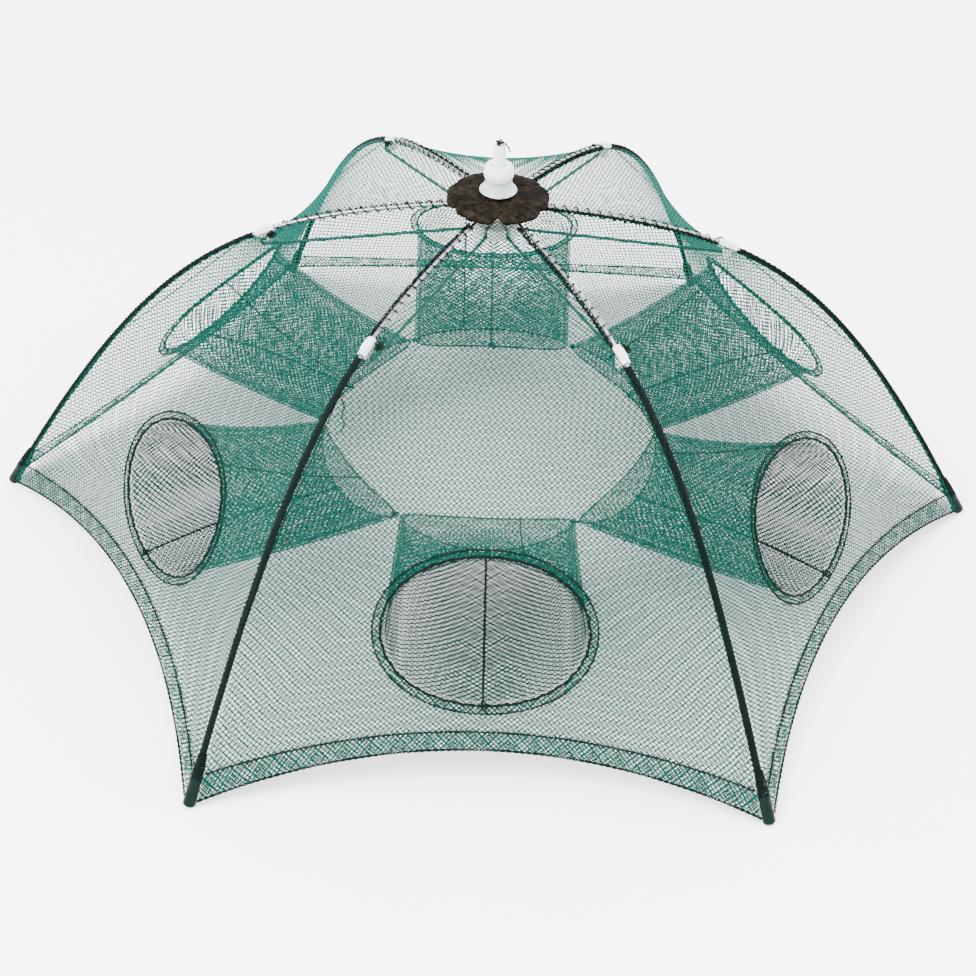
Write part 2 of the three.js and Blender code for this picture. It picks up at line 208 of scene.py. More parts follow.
def outward(surface, a, b):
    """Unit normals of a surface(a, b)."""
    d = 1e-3
    across = surface(a + d, b) - surface(a - d, b)
    down = surface(a, np.minimum(b + d, 1)) - surface(a, np.maximum(b - d, 0))
    normal = np.cross(down, across)
    return normal / np.linalg.norm(normal, axis=-1, keepdims=True)


v_table = np.linspace(0, 1, 401)
s_table = distances(cover(np.zeros(401), v_table))
width_table = cover(np.ones(401), v_table)[:, 1]
panel_length = s_table[-1]
hem_width = 2 * width_table[-1]
print("panel cut", round(panel_length, 3), "long and", round(hem_width, 3), "wide at the hem")

# %% The round entrance in the cover
entrance_width = 0.144
entrance_height = 0.105
entrance_place = 0.836
entrance_rise = float(np.interp(entrance_place + 0.01, v_table, s_table)
                      - np.interp(entrance_place - 0.01, v_table, s_table)) / 0.02


def entrance(angle, grow):
    """A ring on the cover, grow wider than the rim's line. Angle 0 is to +u, a right angle is up."""
    v = entrance_place - (entrance_height / 2 + grow) * np.sin(angle) / entrance_rise
    u = (entrance_width / 2 + grow) * np.cos(angle) / np.interp(v, v_table, width_table)
    return cover(u, v)


def entrance_share(u, v, grow):
    """Across and along shares of the entrance ring, whose length is 1 on the ring."""
    across = u * np.interp(v, v_table, width_table) / (entrance_width / 2 + grow)
    along = (v - entrance_place) * entrance_rise / (entrance_height / 2 + grow)
    return across, along


print("entrance middle at", entrance(np.array([0, math.pi]), 0).mean(axis=0).round(3))

# %% [markdown]
# ## Finishes
# The net and twine are green polyethylene fibre. Their colour changes a little along each
# thread, and they are nearly matt, so their shine is kept low. The doubled net's finish is the
# net's green at about half its brightness: painted shade of the second layer and of the
# trap's inside. The plastic is satin and slightly uneven. The ribs are bright drawn wire, and
# the stretchers' wire is duller, with a dark green colour that is painted shade of the canopy
# over it. Each finish is one shader whose colour, gloss and bump come from noise in the
# object's own space, which keeps its scale whatever the size of the piece.

# %% Helper for finishes
def finish_of(name, dark, light, rough, grain, bump, metal=0.0, spread=0.12, shine=0.5, detail=4.0):
    material = bpy.data.materials.new(name)
    material.use_nodes = True
    nodes = material.node_tree.nodes
    links = material.node_tree.links
    shader = nodes["Principled BSDF"]
    place = nodes.new("ShaderNodeTexCoord")
    speckle = nodes.new("ShaderNodeTexNoise")
    speckle.inputs["Scale"].default_value = grain
    speckle.inputs["Detail"].default_value = detail
    colour = nodes.new("ShaderNodeValToRGB")
    colour.color_ramp.elements[0].position = 0.32
    colour.color_ramp.elements[0].color = (*dark, 1)
    colour.color_ramp.elements[1].position = 0.68
    colour.color_ramp.elements[1].color = (*light, 1)
    gloss = nodes.new("ShaderNodeMapRange")
    gloss.inputs["To Min"].default_value = rough - spread
    gloss.inputs["To Max"].default_value = rough + spread
    relief = nodes.new("ShaderNodeBump")
    relief.inputs["Strength"].default_value = bump
    relief.inputs["Distance"].default_value = 0.3 / grain
    links.new(place.outputs["Object"], speckle.inputs["Vector"])
    links.new(speckle.outputs["Fac"], colour.inputs["Fac"])
    links.new(speckle.outputs["Fac"], gloss.inputs["Value"])
    links.new(speckle.outputs["Fac"], relief.inputs["Height"])
    links.new(colour.outputs["Color"], shader.inputs["Base Color"])
    links.new(gloss.outputs["Result"], shader.inputs["Roughness"])
    links.new(relief.outputs["Normal"], shader.inputs["Normal"])
    shader.inputs["Metallic"].default_value = metal
    shader.inputs["Specular IOR Level"].default_value = shine
    return material


# %% The finishes
net_thread = finish_of(
    "net_thread", (0.0001, 0.014, 0.0105), (0.0003, 0.075, 0.055), 0.5, 900, 0.3, shine=0.03)
# The next finish is the net's green at about half its brightness: painted shade for the doubled bands
# and for the funnels inside the trap.
doubled_net_painted_shade = finish_of(
    "doubled_net_painted_shade", (0.0001, 0.008, 0.006), (0.0003, 0.038, 0.028), 0.5, 900, 0.3, shine=0.03)
dark_twine = finish_of(
    "dark_twine", (0.0001, 0.0014, 0.0010), (0.0004, 0.005, 0.0038), 0.6, 1400, 0.6, shine=0.05)
drawn_wire = finish_of(
    "drawn_wire", (0.13, 0.14, 0.14), (0.25, 0.26, 0.26), 0.30, 700, 0.12, metal=1.0, spread=0.08)
# The stretchers' finish is steel with a dark green colour: painted shade of the canopy over them; its
# higher roughness is the wire's duller finish.
stretcher_steel_painted_shade = finish_of(
    "stretcher_steel_painted_shade", (0.008, 0.024, 0.020), (0.022, 0.048, 0.042), 0.45, 700, 0.2, metal=1.0)
white_plastic = finish_of("white_plastic", (0.50, 0.50, 0.48), (0.58, 0.58, 0.565), 0.38, 160, 0.05)
cap_plastic = finish_of(
    "cap_plastic", (0.0002, 0.003, 0.0022), (0.0005, 0.008, 0.006), 0.42, 420, 0.15, shine=0.05)
white_plastic.node_tree.nodes["Principled BSDF"].inputs["Subsurface Weight"].default_value = 0.15
print("finishes:", len(bpy.data.materials))

# %% [markdown]
# The skirt of the hub is thin, milky plastic that lets light through, so it has its own
# finish: part of the light passes and is scattered on the way.

# %% Translucent plastic
milky_plastic = finish_of("milky_plastic", (0.42, 0.45, 0.44), (0.54, 0.57, 0.56), 0.34, 220, 0.04)
milky_shader = milky_plastic.node_tree.nodes["Principled BSDF"]
milky_shader.inputs["Transmission Weight"].default_value = 0.45
milky_shader.inputs["Subsurface Weight"].default_value = 0.3
milky_shader.inputs["IOR"].default_value = 1.45
print("milky plastic lets through", round(milky_shader.inputs["Transmission Weight"].default_value, 2))

# %% [markdown]
# The patch is felt pressed from brown, black and tan fibres. Two noises are mixed: large
# soft stains, and a fine grain for the fibres, which also raises the nap.

# %% Mottled felt
felt = finish_of(
    "felt", (0.0012, 0.0009, 0.0007), (0.010, 0.008, 0.006), 0.92, 260, 0.9,
    spread=0.05, shine=0.03, detail=9.0)
felt_nodes = felt.node_tree.nodes
felt_links = felt.node_tree.links
stain = felt_nodes.new("ShaderNodeTexNoise")
stain.inputs["Scale"].default_value = 70
stain.inputs["Detail"].default_value = 3
stain_colour = felt_nodes.new("ShaderNodeValToRGB")
stain_colour.color_ramp.elements[0].position = 0.42
stain_colour.color_ramp.elements[0].color = (0.55, 0.50, 0.48, 1)
stain_colour.color_ramp.elements[1].position = 0.66
stain_colour.color_ramp.elements[1].color = (1.5, 1.45, 1.2, 1)
stained = felt_nodes.new("ShaderNodeMix")
stained.data_type = "RGBA"
stained.blend_type = "MULTIPLY"
stained.inputs["Factor"].default_value = 1
ramp = next(n for n in felt_nodes if n.type == "VALTORGB" and n is not stain_colour)
felt_place = next(n for n in felt_nodes if n.type == "TEX_COORD")
felt_links.new(felt_place.outputs["Object"], stain.inputs["Vector"])
felt_links.new(stain.outputs["Fac"], stain_colour.inputs["Fac"])
felt_links.new(ramp.outputs["Color"], stained.inputs["A"])
felt_links.new(stain_colour.outputs["Color"], stained.inputs["B"])
felt_links.new(stained.outputs["Result"], felt_nodes["Principled BSDF"].inputs["Base Color"])
print("felt shader nodes:", len(felt_nodes))

# %% [markdown]
# ## Helpers that make a piece
# A piece is a mesh with one finish, which rides on a body of the frame. Its object stays at
# the origin with its place in its mesh. Repeated pieces are made once and then turned round
# the axis.

# %% From a mesh to a piece
def piece(name, mesh, material, body, smooth=True):
    mesh.name = name
    obj = bpy.data.objects.new(name, mesh)
    bpy.context.scene.collection.objects.link(obj)
    mesh.materials.clear()
    mesh.materials.append(material)
    if smooth:
        mesh.shade_smooth()
        mesh.set_sharp_from_angle(angle=math.radians(38))
    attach(obj, body)
    return obj


def mesh_of(bm):
    mesh = bpy.data.meshes.new("made")
    bm.to_mesh(mesh)
    bm.free()
    return mesh


def turned_copy(mesh, angle):
    """A copy of a mesh, turned round the trap's axis."""
    copied = mesh.copy()
    copied.transform(Matrix.Rotation(angle, 4, "Z"))
    return copied


def rib_angle(number):
    return (number - 1) * step


def bay_angle(number):
    return (number - 0.5) * step


# %% [markdown]
# Wires, cords and twine are round bars along a path. A curve with a round bevel makes the
# bar, and it is turned into a mesh at once so that it can fold with the net. Twine is two
# strands laid round each other: each strand follows a screw line about the path.

# %% Bars along paths, and twisted twine
def bars(paths, diameter, sides=8, closed=False):
    """One mesh with a round bar along each path; a path is rows of points."""
    curve = bpy.data.curves.new("bars", "CURVE")
    curve.dimensions = "3D"
    curve.bevel_depth = diameter / 2
    curve.bevel_resolution = (sides - 4) // 2
    curve.use_fill_caps = True
    for path in paths:
        spline = curve.splines.new("POLY")
        spline.points.add(len(path) - 1)
        spline.points.foreach_set("co", np.column_stack([path, np.ones(len(path))]).ravel())
        spline.use_cyclic_u = closed
    holder = bpy.data.objects.new("bars", curve)
    mesh = bpy.data.meshes.new_from_object(holder)
    bpy.data.objects.remove(holder)
    bpy.data.curves.remove(curve)
    return mesh


def spaced(path, gap):
    """The path again, with points about a gap apart."""
    path = np.asarray(path, float)
    along = distances(path)
    count = max(3, math.ceil(along[-1] / gap) + 1)
    at = np.linspace(0, along[-1], count)
    return np.stack([np.interp(at, along, path[:, axis]) for axis in range(3)], axis=1), at


def screw(path, radius, lay, phase=0.0, steps=8):
    """A screw line about a path, one turn in each lay; radius and lay may change along it."""
    points, at = spaced(path, np.min(lay) / steps)
    ahead = np.gradient(points, axis=0)
    ahead /= np.linalg.norm(ahead, axis=1, keepdims=True)
    side = np.cross(ahead, (0.31, 0.17, 0.94))
    side /= np.linalg.norm(side, axis=1, keepdims=True)
    other = np.cross(ahead, side)
    share = at / at[-1]
    lays = np.interp(share, np.linspace(0, 1, np.size(lay)), np.atleast_1d(lay))
    radii = np.interp(share, np.linspace(0, 1, np.size(radius)), np.atleast_1d(radius))
    turn = phase + 2 * math.pi * np.concatenate([[0], np.cumsum(np.diff(at) / lays[1:])])
    return points + radii[:, None] * (np.cos(turn)[:, None] * side + np.sin(turn)[:, None] * other)


def twine(path, diameter):
    """The two strands of a twisted twine along a path."""
    lay = 4 * diameter
    return [screw(path, diameter / 4, lay, phase, 6) for phase in (0, math.pi)]


def joined(meshes):
    """Several meshes as one."""
    bm = bmesh.new()
    for mesh in meshes:
        bm.from_mesh(mesh)
        bpy.data.meshes.remove(mesh)
    return mesh_of(bm)


def knot(centre, size):
    """A small closed overhand knot about a point, as one path."""
    t = np.linspace(0, 2 * math.pi, 36, endpoint=False)
    shape = np.stack([
        np.sin(t) + 2 * np.sin(2 * t),
        np.cos(t) - 2 * np.cos(2 * t),
        -np.sin(3 * t)], axis=1)
    return np.asarray(centre) + shape * size / 6


# %% [markdown]
# ## Netting
# Real netting is holes with thread round them, and it is made that way here: a grid of
# square cells standing on their corners, each cell inset by half a thread and its middle
# taken out. The inset also lowers the inner edges, so a thread is ridged and catches light
# as a round one does. All this happens on the flat cut. The finished threads are then laid
# on the surface they belong to, and the cells at an edge are drawn onto that edge.

# %% Netting helpers
ridge_share = 0.35


def lattice(reach_x, reach_y, diagonal):
    """Square cells standing on their corners, over a rectangle centred on the origin."""
    side = diagonal / math.sqrt(2)
    count = math.ceil((reach_x + reach_y) / math.sqrt(2) / side)
    cells = bmesh.new()
    bmesh.ops.create_grid(cells, x_segments=count, y_segments=count, size=count * side / 2)
    turn = Matrix.Rotation(math.pi / 4, 3, "Z")
    bmesh.ops.rotate(cells, verts=cells.verts, cent=(0, 0, 0), matrix=turn)
    return cells


def trim(cells, inside):
    """Takes away each cell whose middle isn't inside."""
    faces = cells.faces[:]
    middles = np.array([face.calc_center_median() for face in faces])
    kept = inside(middles)
    lost = [face for face, keep in zip(faces, kept) if not keep]
    bmesh.ops.delete(cells, geom=lost, context="FACES")


def move(cells, rule):
    """Puts each corner where the rule says."""
    verts = cells.verts[:]
    for vert, point in zip(verts, rule(np.array([vert.co for vert in verts]))):
        vert.co = point


def open_cells(cells, thread):
    """Turns the cells into threads, and returns the threads' flat area."""
    holes = cells.faces[:]
    bmesh.ops.inset_individual(cells, faces=holes, thickness=thread / math.sqrt(2),
                               depth=-ridge_share * thread, use_even_offset=False)
    bmesh.ops.delete(cells, geom=holes, context="FACES")
    return sum(face.calc_area() for face in cells.faces)


coarse = 1.0
net_cell = 0.0040 * coarse
net_gauge = 0.00066 * coarse
border_gauge = 0.00074 * coarse
border_cell = 0.0033 * coarse
floor_cell = 0.0046 * coarse
funnel_cell = 0.0046 * coarse
double_gauge = 0.00062 * coarse
print("net cell", net_cell, "thread", net_gauge)

# %% [markdown]
# ## The canopy
# Each bay's net is cut as one trapezoid with a round hole. It is made here as two halves,
# because each half is sewn to its own rib and folds with it; they meet along the middle of
# the bay between two rows of cells, where no join shows.

# %% Rules of the flat cut, whose first axis runs down the bay
def unroll(points):
    v = np.interp(points[:, 0] + panel_length / 2, s_table, v_table)
    return points[:, 1] / np.interp(v, v_table, width_table), v


def on_cut(points):
    u, v = unroll(points)
    across, along = entrance_share(u, v, 0)
    down = points[:, 0] + panel_length / 2
    return (np.abs(u) < 1) & (down > 0) & (down < panel_length) & (np.hypot(across, along) > 1)


def settle_on_cut(points):
    """Draws the corners that lie past an edge onto it."""
    u, v = unroll(points)
    across, along = entrance_share(u, v, 0)
    far = np.hypot(across, along)
    stretch = np.where(far < 1, 1 / np.maximum(far, 1e-6), 1)
    v = np.clip(entrance_place + (v - entrance_place) * stretch, 0, 1)
    width = np.interp(v, v_table, width_table)
    y = np.where(far < 1, across * stretch * entrance_width / 2, np.clip(u, -1, 1) * width)
    return np.column_stack([np.interp(v, v_table, s_table) - panel_length / 2, y, points[:, 2]])


def onto_cover(points):
    u, v = unroll(points)
    return cover(u, v) + points[:, 2:] * outward(cover, u, v)


# %% Half nets, one for each side of a bay
def half_net(side, inside, diagonal, gauge, depth):
    """The threads on one side of the bay, and their flat area."""
    cells = lattice(panel_length, hem_width, diagonal)
    trim(cells, lambda middles: inside(middles) & ((middles[:, 1] >= 0) == (side > 0)))
    move(cells, settle_on_cut)
    area = open_cells(cells, gauge)
    bmesh.ops.translate(cells, verts=cells.verts, vec=(0, 0, depth))
    move(cells, onto_cover)
    return mesh_of(cells), area


sides = {"left": -1, "right": 1}
half_nets = {name: half_net(side, on_cut, net_cell, net_gauge, 0) for name, side in sides.items()}
print("half net faces:", {name: len(mesh.polygons) for name, (mesh, area) in half_nets.items()})

# %% [markdown]
# The hem and the rim of each entrance are doubled: a second layer of finer net is turned
# in behind the first. It shows as a darker band, so it is made as a band of net just under
# the cover, and its threads are given painted shade, a darker green than the cover's.

# %% Doubled bands at the hem and round the entrance
hem_band = 0.0125
rim_band = 0.0055
band_depth = -0.0014


def on_band(points):
    u, v = unroll(points)
    across, along = entrance_share(u, v, rim_band)
    near_hem = points[:, 0] + panel_length / 2 > panel_length - hem_band
    near_rim = np.hypot(across, along) < 1
    return on_cut(points) & (near_hem | near_rim)


half_bands = {name: half_net(side, on_band, border_cell, border_gauge, band_depth)
              for name, side in sides.items()}
print("half band faces:", {name: len(mesh.polygons) for name, (mesh, area) in half_bands.items()})

# %% [markdown]
# Dark twine is threaded along the hem, along the band's upper edge, and round the entrance,
# where one more strand is wound round the rim's twine.

# %% Twine on the cover
hem_twine = 0.0023
sewing_twine = 0.0018
rim_twine = 0.0022
knot_twine = 0.0012
sewing_lift = 0.0004
strand_radius = 0.0009
strand_lay = 0.013


def cover_path(u, v, lift):
    return cover(u, v) + lift * outward(cover, u, v)


def half_cords(side):
    count = 60
    across = np.linspace(0, side, count)
    band_v = float(np.interp(panel_length - hem_band, s_table, v_table))
    paths = twine(cover_path(across, np.ones(count), 0), hem_twine)
    meshes = [bars(paths, hem_twine / 2, 4)]
    sewing = cover_path(across * 0.99, np.full(count, band_v), sewing_lift)
    angle = math.pi / 2 - side * np.linspace(0, math.pi, count)
    inner = entrance(angle, 0.0)
    outer = entrance(angle, rim_band)
    strand = screw(inner, strand_radius, strand_lay)
    sewn = twine(sewing, sewing_twine) + twine(outer, sewing_twine)
    meshes.append(bars(sewn, sewing_twine / 2, 4))
    meshes.append(bars(twine(inner, rim_twine) + [strand], rim_twine / 2, 6))
    return joined(meshes)


half_cord = {name: half_cords(side) for name, side in sides.items()}
print("half cord faces:", {name: len(mesh.polygons) for name, mesh in half_cord.items()})

# %% Place the cover in each bay
for bay in range(1, rib_count + 1):
    for name, side in sides.items():
        rib_number = bay if side < 0 else bay % rib_count + 1
        body = f"rib_arm_{rib_number}"
        angle = bay_angle(bay)
        net = piece(f"canopy_net_{name}_{bay}", turned_copy(half_nets[name][0], angle),
                    net_thread, body, False)
        # The band's threads use the darker net finish, which is painted shade.
        band = piece(f"doubled_edge_{name}_{bay}", turned_copy(half_bands[name][0], angle),
                     doubled_net_painted_shade, body, False)
        cords = piece(f"edge_twine_{name}_{bay}", turned_copy(half_cord[name], angle),
                      dark_twine, body)
        if side < 0:
            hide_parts(f"canopy_panel_{bay}")
            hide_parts(f"entrance_rim_{bay}")
        for soft in (net, band, cords):
            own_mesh(soft)
print("canopy halves:", 2 * rib_count)

# %% [markdown]
# ## Funnels
# Behind each entrance a tunnel of doubled net narrows to a flat slit, which lets a crab
# push in and not out. The tunnel is ruled from the round rim to the slit, sags a little,
# and is made of two layers set half a cell apart, which gives the denser, broken pattern
# of doubled net. A twine runs in from a knot at the rim's bottom, and its other knot draws
# the slit's lower lip down.

# %% The funnel's surface
throat_radius = 0.138
throat_height = 0.075
throat_opening = 0.016
throat_pull = 0.009
throat_gap = 0.0032
funnel_inset = 0.002
funnel_sag = 0.004


def funnel_point(angle, w, grow):
    start = entrance(angle, grow - funnel_inset)
    low = np.where(np.sin(angle) < 0, 2.0, 1.0)
    belly = np.sin(angle) ** 2
    half_width = throat_radius * math.sin(half) - throat_gap
    end = np.stack([
        throat_radius * math.cos(half) + throat_pull * belly * low,
        (half_width + grow) * np.cos(angle),
        throat_height + (throat_opening / 2 + grow) * np.sin(angle) * low], axis=-1)
    share = w[..., None]
    point = start * (1 - share) + end * share
    point[..., 2] -= 4 * funnel_sag * w * (1 - w)
    return point


ring_angles = np.linspace(0, 2 * math.pi, 181)
middle_ring = funnel_point(ring_angles, np.full(181, 0.5), 0)
funnel_girth = float(np.linalg.norm(np.diff(middle_ring, axis=0), axis=1).sum())
side_line = funnel_point(np.zeros(2), np.array([0.0, 1.0]), 0)
funnel_length = float(np.linalg.norm(side_line[1] - side_line[0]))
print("funnel girth", round(funnel_girth, 3), "length", round(funnel_length, 3))


# %% Funnel netting, sewing and ties
def funnel_layer(grow, phase):
    cells = lattice(funnel_girth, funnel_length + 0.01, funnel_cell)
    bmesh.ops.translate(cells, verts=cells.verts, vec=(0, phase, 0))
    trim(cells, lambda p: (np.abs(p[:, 0]) < funnel_girth / 2) & (np.abs(p[:, 1]) < funnel_length / 2))

    def settle(points):
        x = np.clip(points[:, 0], -funnel_girth / 2, funnel_girth / 2)
        y = np.clip(points[:, 1], -funnel_length / 2, funnel_length / 2)
        return np.column_stack([x, y, points[:, 2]])

    def lay(points):
        angle = -math.pi / 2 - 2 * math.pi * points[:, 0] / funnel_girth + math.pi
        return funnel_point(angle, points[:, 1] / funnel_length + 0.5, grow + points[:, 2])

    move(cells, settle)
    area = open_cells(cells, double_gauge)
    move(cells, lay)
    return mesh_of(cells), area


layer_offset = 0.0011
outer_layer, outer_area = funnel_layer(layer_offset, 0)
inner_layer, inner_area = funnel_layer(-layer_offset, funnel_cell / 2)
funnel_mesh = joined([outer_layer, inner_layer])
slit_twine = 0.0017
lead_twine = 0.0021
lead_rise = 0.006
tie_length = 0.0048
seam_angle = 1.2
seam_lift = 0.0018
slit = funnel_point(ring_angles[:-1], np.ones(180), 0.0)
bottom = np.array([-math.pi / 2])
rim_bottom = entrance(bottom, 0.0)[0]
lip = funnel_point(bottom, np.ones(1), 0.0)[0]
corner = funnel_point(np.array([0.0]), np.ones(1), 0.0)[0]
tie = np.linspace(corner, corner + np.array([0.0, tie_length, 0.0]), 4)
lead = np.linspace(rim_bottom, lip, 24)
lead[:, 2] += lead_rise * np.sin(np.linspace(0, math.pi, 24))
slit_loop = np.vstack([slit, slit[:1]])
seam_path = funnel_point(np.full(30, seam_angle), np.linspace(0, 1, 30), seam_lift)
knots = [knot(lip, 0.006), knot(rim_bottom, 0.007), knot(corner, 0.006)]
funnel_cords = joined([
    bars(twine(slit_loop, slit_twine) + twine(seam_path, slit_twine), slit_twine / 2, 4),
    bars(twine(lead, lead_twine) + twine(tie, slit_twine), lead_twine / 2, 6),
    bars(knots, knot_twine, 6, closed=True)])
print("funnel faces:", len(funnel_mesh.polygons), "cord faces:", len(funnel_cords.polygons))

# %% Place a funnel in each bay
for bay in range(1, rib_count + 1):
    angle = bay_angle(bay)
    body = f"tunnel_{bay}"
    # The funnel's threads use the darker net finish, which is painted shade of the trap's inside.
    net = piece(f"funnel_net_{bay}", turned_copy(funnel_mesh, angle),
                doubled_net_painted_shade, body, False)
    cords = piece(f"funnel_twine_{bay}", turned_copy(funnel_cords, angle), dark_twine, body)
    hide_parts(f"funnel_{bay}")
    for soft in (net, cords):
        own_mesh(soft)
print("funnels:", rib_count)

# %% [markdown]
# ## The floor net
# The floor is one flat net, laced to the hems all round, so it rises a little toward the
# middle of each arched hem. Its cells all run the same way. They are shared out between the
# bodies that carry them: near each tip they follow the rib, and the rest of each sector
# folds up about a line across the sector.

# %% The floor's edge and height
floor_height = 0.0078
floor_tip = 0.384
floor_rise = 2.0
hem_u = np.linspace(-1, 1, 401)
hem_line = cover(hem_u, np.ones(401))
hem_angle = np.arctan2(hem_line[:, 1], hem_line[:, 0])
hem_radius = np.minimum(np.hypot(hem_line[:, 0], hem_line[:, 1]), floor_tip)
hem_height = hem_line[:, 2]
print("hem arch rises", round(float(hem_height.max() - hem_height.min()), 3))


def from_bay(points):
    """Angle from the middle of the bay, and distance from the axis."""
    angle = np.mod(np.arctan2(points[:, 1], points[:, 0]), step) - half
    return angle, np.hypot(points[:, 0], points[:, 1])


def settle_on_floor(points):
    angle, radius = from_bay(points)
    limit = np.interp(angle, hem_angle, hem_radius)
    shrink = np.where(radius > limit, limit / np.maximum(radius, 1e-9), 1)
    return points * np.column_stack([shrink, shrink, np.ones(len(points))])


def onto_floor(points):
    angle, radius = from_bay(points)
    share = radius / np.interp(angle, hem_angle, hem_radius)
    rise = np.interp(angle, hem_angle, hem_height) - floor_height
    lifted = points.copy()
    lifted[:, 2] += floor_height + rise * share**floor_rise
    return lifted


def on_floor(middles):
    angle, radius = from_bay(middles)
    return radius < np.interp(angle, hem_angle, hem_radius)


def sector_of(middles):
    """The number of the rib nearest each point, and how far out the point is along that rib."""
    angle = np.arctan2(middles[:, 1], middles[:, 0])
    number = np.mod(np.round(angle / step).astype(int), rib_count)
    along = np.hypot(middles[:, 0], middles[:, 1]) * np.cos(angle - number * step)
    return number + 1, along


# %% Floor netting, shared out
floor_cells = lattice(2 * tip_radius, 2 * tip_radius, floor_cell)
trim(floor_cells, on_floor)
move(floor_cells, settle_on_floor)
floor_flat = mesh_of(floor_cells)


def floor_part(number, far):
    """The floor's threads in one sector, beyond the fold line or within it."""
    cells = bmesh.new()
    cells.from_mesh(floor_flat)

    def mine(middles):
        sector, along = sector_of(middles)
        return (sector == number) & ((along > floor_fold) == far)

    trim(cells, mine)
    area = open_cells(cells, net_gauge)
    move(cells, onto_floor)
    return mesh_of(cells), area


for number in range(1, rib_count + 1):
    for far in (False, True):
        mesh, area = floor_part(number, far)
        body = f"rib_arm_{number}" if far else f"floor_{number}"
        name = "floor_net_tip" if far else "floor_net_inner"
        net = piece(f"{name}_{number}", mesh, net_thread, body, False)
        if not far:
            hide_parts(f"floor_net_{number}")
        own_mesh(net)
print("floor cut from", len(floor_flat.polygons), "cells")

# %% [markdown]
# ## Wires
# The ribs and stretchers are drawn steel wire with an eye bent at the end. One bar along
# one path makes the eye and the wire together, as the bender does.

# %% A rib's wire and a stretcher's wire
def lift_3d(flat, offset=0.0):
    """Points of a rib's own plane, as rows of distance and height, set in the frame."""
    return np.column_stack([flat[:, 0], np.full(len(flat), offset), flat[:, 1]])


def eye_path(centre, radius, start, end):
    """An eye bent in the rib's plane, from one angle to another, in degrees."""
    turn = np.radians(np.linspace(start, end, 20))
    return np.column_stack([centre[0] + radius * np.cos(turn), centre[1] + radius * np.sin(turn)])


rib_eye_radius = 0.0022
rib_eye_leg = 0.010
rib_wire_path = lift_3d(np.vstack([
    eye_path(rib_start, rib_eye_radius, -60, -270),
    rib_point(np.linspace(place_at_radius(hinge_radius + rib_eye_leg), 1, 70))]))
elbow_on_rib = rib_point(elbow_place)
elbow_pivot = elbow_on_rib - np.array([0, elbow_pivot_drop])
runner_pivot = np.array([runner_radius, runner_height])
stretcher_eye_radius = 0.0023
stretcher_path = np.vstack([
    lift_3d(eye_path(runner_pivot, stretcher_eye_radius, 60, 270), 0.0),
    lift_3d(eye_path(elbow_pivot, stretcher_eye_radius, 270, 480), stretcher_offset)])
rib_mesh = bars([rib_wire_path], wire_diameter, 12)
stretcher_mesh = bars([stretcher_path], stretcher_diameter, 12)
print("rib wire faces:", len(rib_mesh.polygons))

# %% [markdown]
# The two wires that thread the eyes are closed rings. The moulded parts that carry them
# already have their true shape, so they are copied, their loose triangles are joined, and
# their edges are rounded with a bevel, as a mould leaves them.

# %% Hinge rings, and moulded parts with rounded edges
def ring_path(radius, height, count=72):
    turn = np.linspace(0, 2 * math.pi, count, endpoint=False)
    return np.column_stack([radius * np.cos(turn), radius * np.sin(turn), np.full(count, height)])


def moulded(node, body, material, radius):
    """A copy of a CAD node with its triangles joined and its edges rounded."""
    bm = bmesh.new()
    bm.from_mesh(frame["nodes"][node].data)
    bmesh.ops.remove_doubles(bm, verts=bm.verts, dist=1e-6)
    bmesh.ops.dissolve_limit(bm, angle_limit=math.radians(1), verts=bm.verts, edges=bm.edges)
    obj = piece(node + "_moulding", mesh_of(bm), material, body)
    rounding = obj.modifiers.new("rounding", "BEVEL")
    rounding.width = radius
    rounding.segments = 3
    rounding.limit_method = "ANGLE"
    rounding.angle_limit = math.radians(40)
    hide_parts(node)
    return obj


ring_wire = 0.002
hub_edge = 0.0005
clip_edge = 0.0004
for name, radius, height, body in (("rib_hinge_wire", hinge_radius, hinge_height, "hub"),
                                   ("runner_hinge_wire", runner_radius, runner_height, "lift")):
    ring = piece(name + "_ring", bars([ring_path(radius, height)], ring_wire, 12, closed=True),
                 drawn_wire, body)
    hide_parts(name)
moulded("rib_hub", "hub", white_plastic, hub_edge)
moulded("runner", "lift", white_plastic, hub_edge)
for number in range(1, rib_count + 1):
    moulded(f"elbow_clip_{number}", f"rib_arm_{number}", white_plastic, clip_edge)
    wire = piece(f"rib_wire_{number}", turned_copy(rib_mesh, rib_angle(number)),
                 drawn_wire, f"rib_arm_{number}")
    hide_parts(f"rib_{number}")
    # The stretcher's dark green colour is painted shade.
    arm = piece(f"stretcher_wire_{number}", turned_copy(stretcher_mesh, rib_angle(number)),
                stretcher_steel_painted_shade, f"stretcher_arm_{number}")
    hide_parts(f"stretcher_{number}")
print("wires:", 2 * rib_count + 2)

# %% [markdown]
# ## Tip caps
# A cap is a blind plastic sleeve with a rounded nose. Its outline is spun round its own
# axis, the result is tipped to the rib's slope, and the foot is cut flat at the ground.

# %% Tip caps
cap_radius = 0.0045
cap_foot = 0.0030
cut_height = 0.0002


def spun(profile, segments=48):
    """A closed outline of (radius, height) spun round the upright axis."""
    bm = bmesh.new()
    verts = [bm.verts.new((r, 0, z)) for r, z in profile]
    edges = [bm.edges.new(pair) for pair in zip(verts, verts[1:] + verts[:1])]
    bmesh.ops.spin(bm, geom=verts + edges, cent=(0, 0, 0), axis=(0, 0, 1), dvec=(0, 0, 0),
                   angle=2 * math.pi, steps=segments, use_merge=True, use_duplicate=False)
    bmesh.ops.remove_doubles(bm, verts=bm.verts, dist=1e-6)
    bmesh.ops.dissolve_degenerate(bm, dist=1e-7, edges=bm.edges)
    bmesh.ops.recalc_face_normals(bm, faces=bm.faces)
    return bm


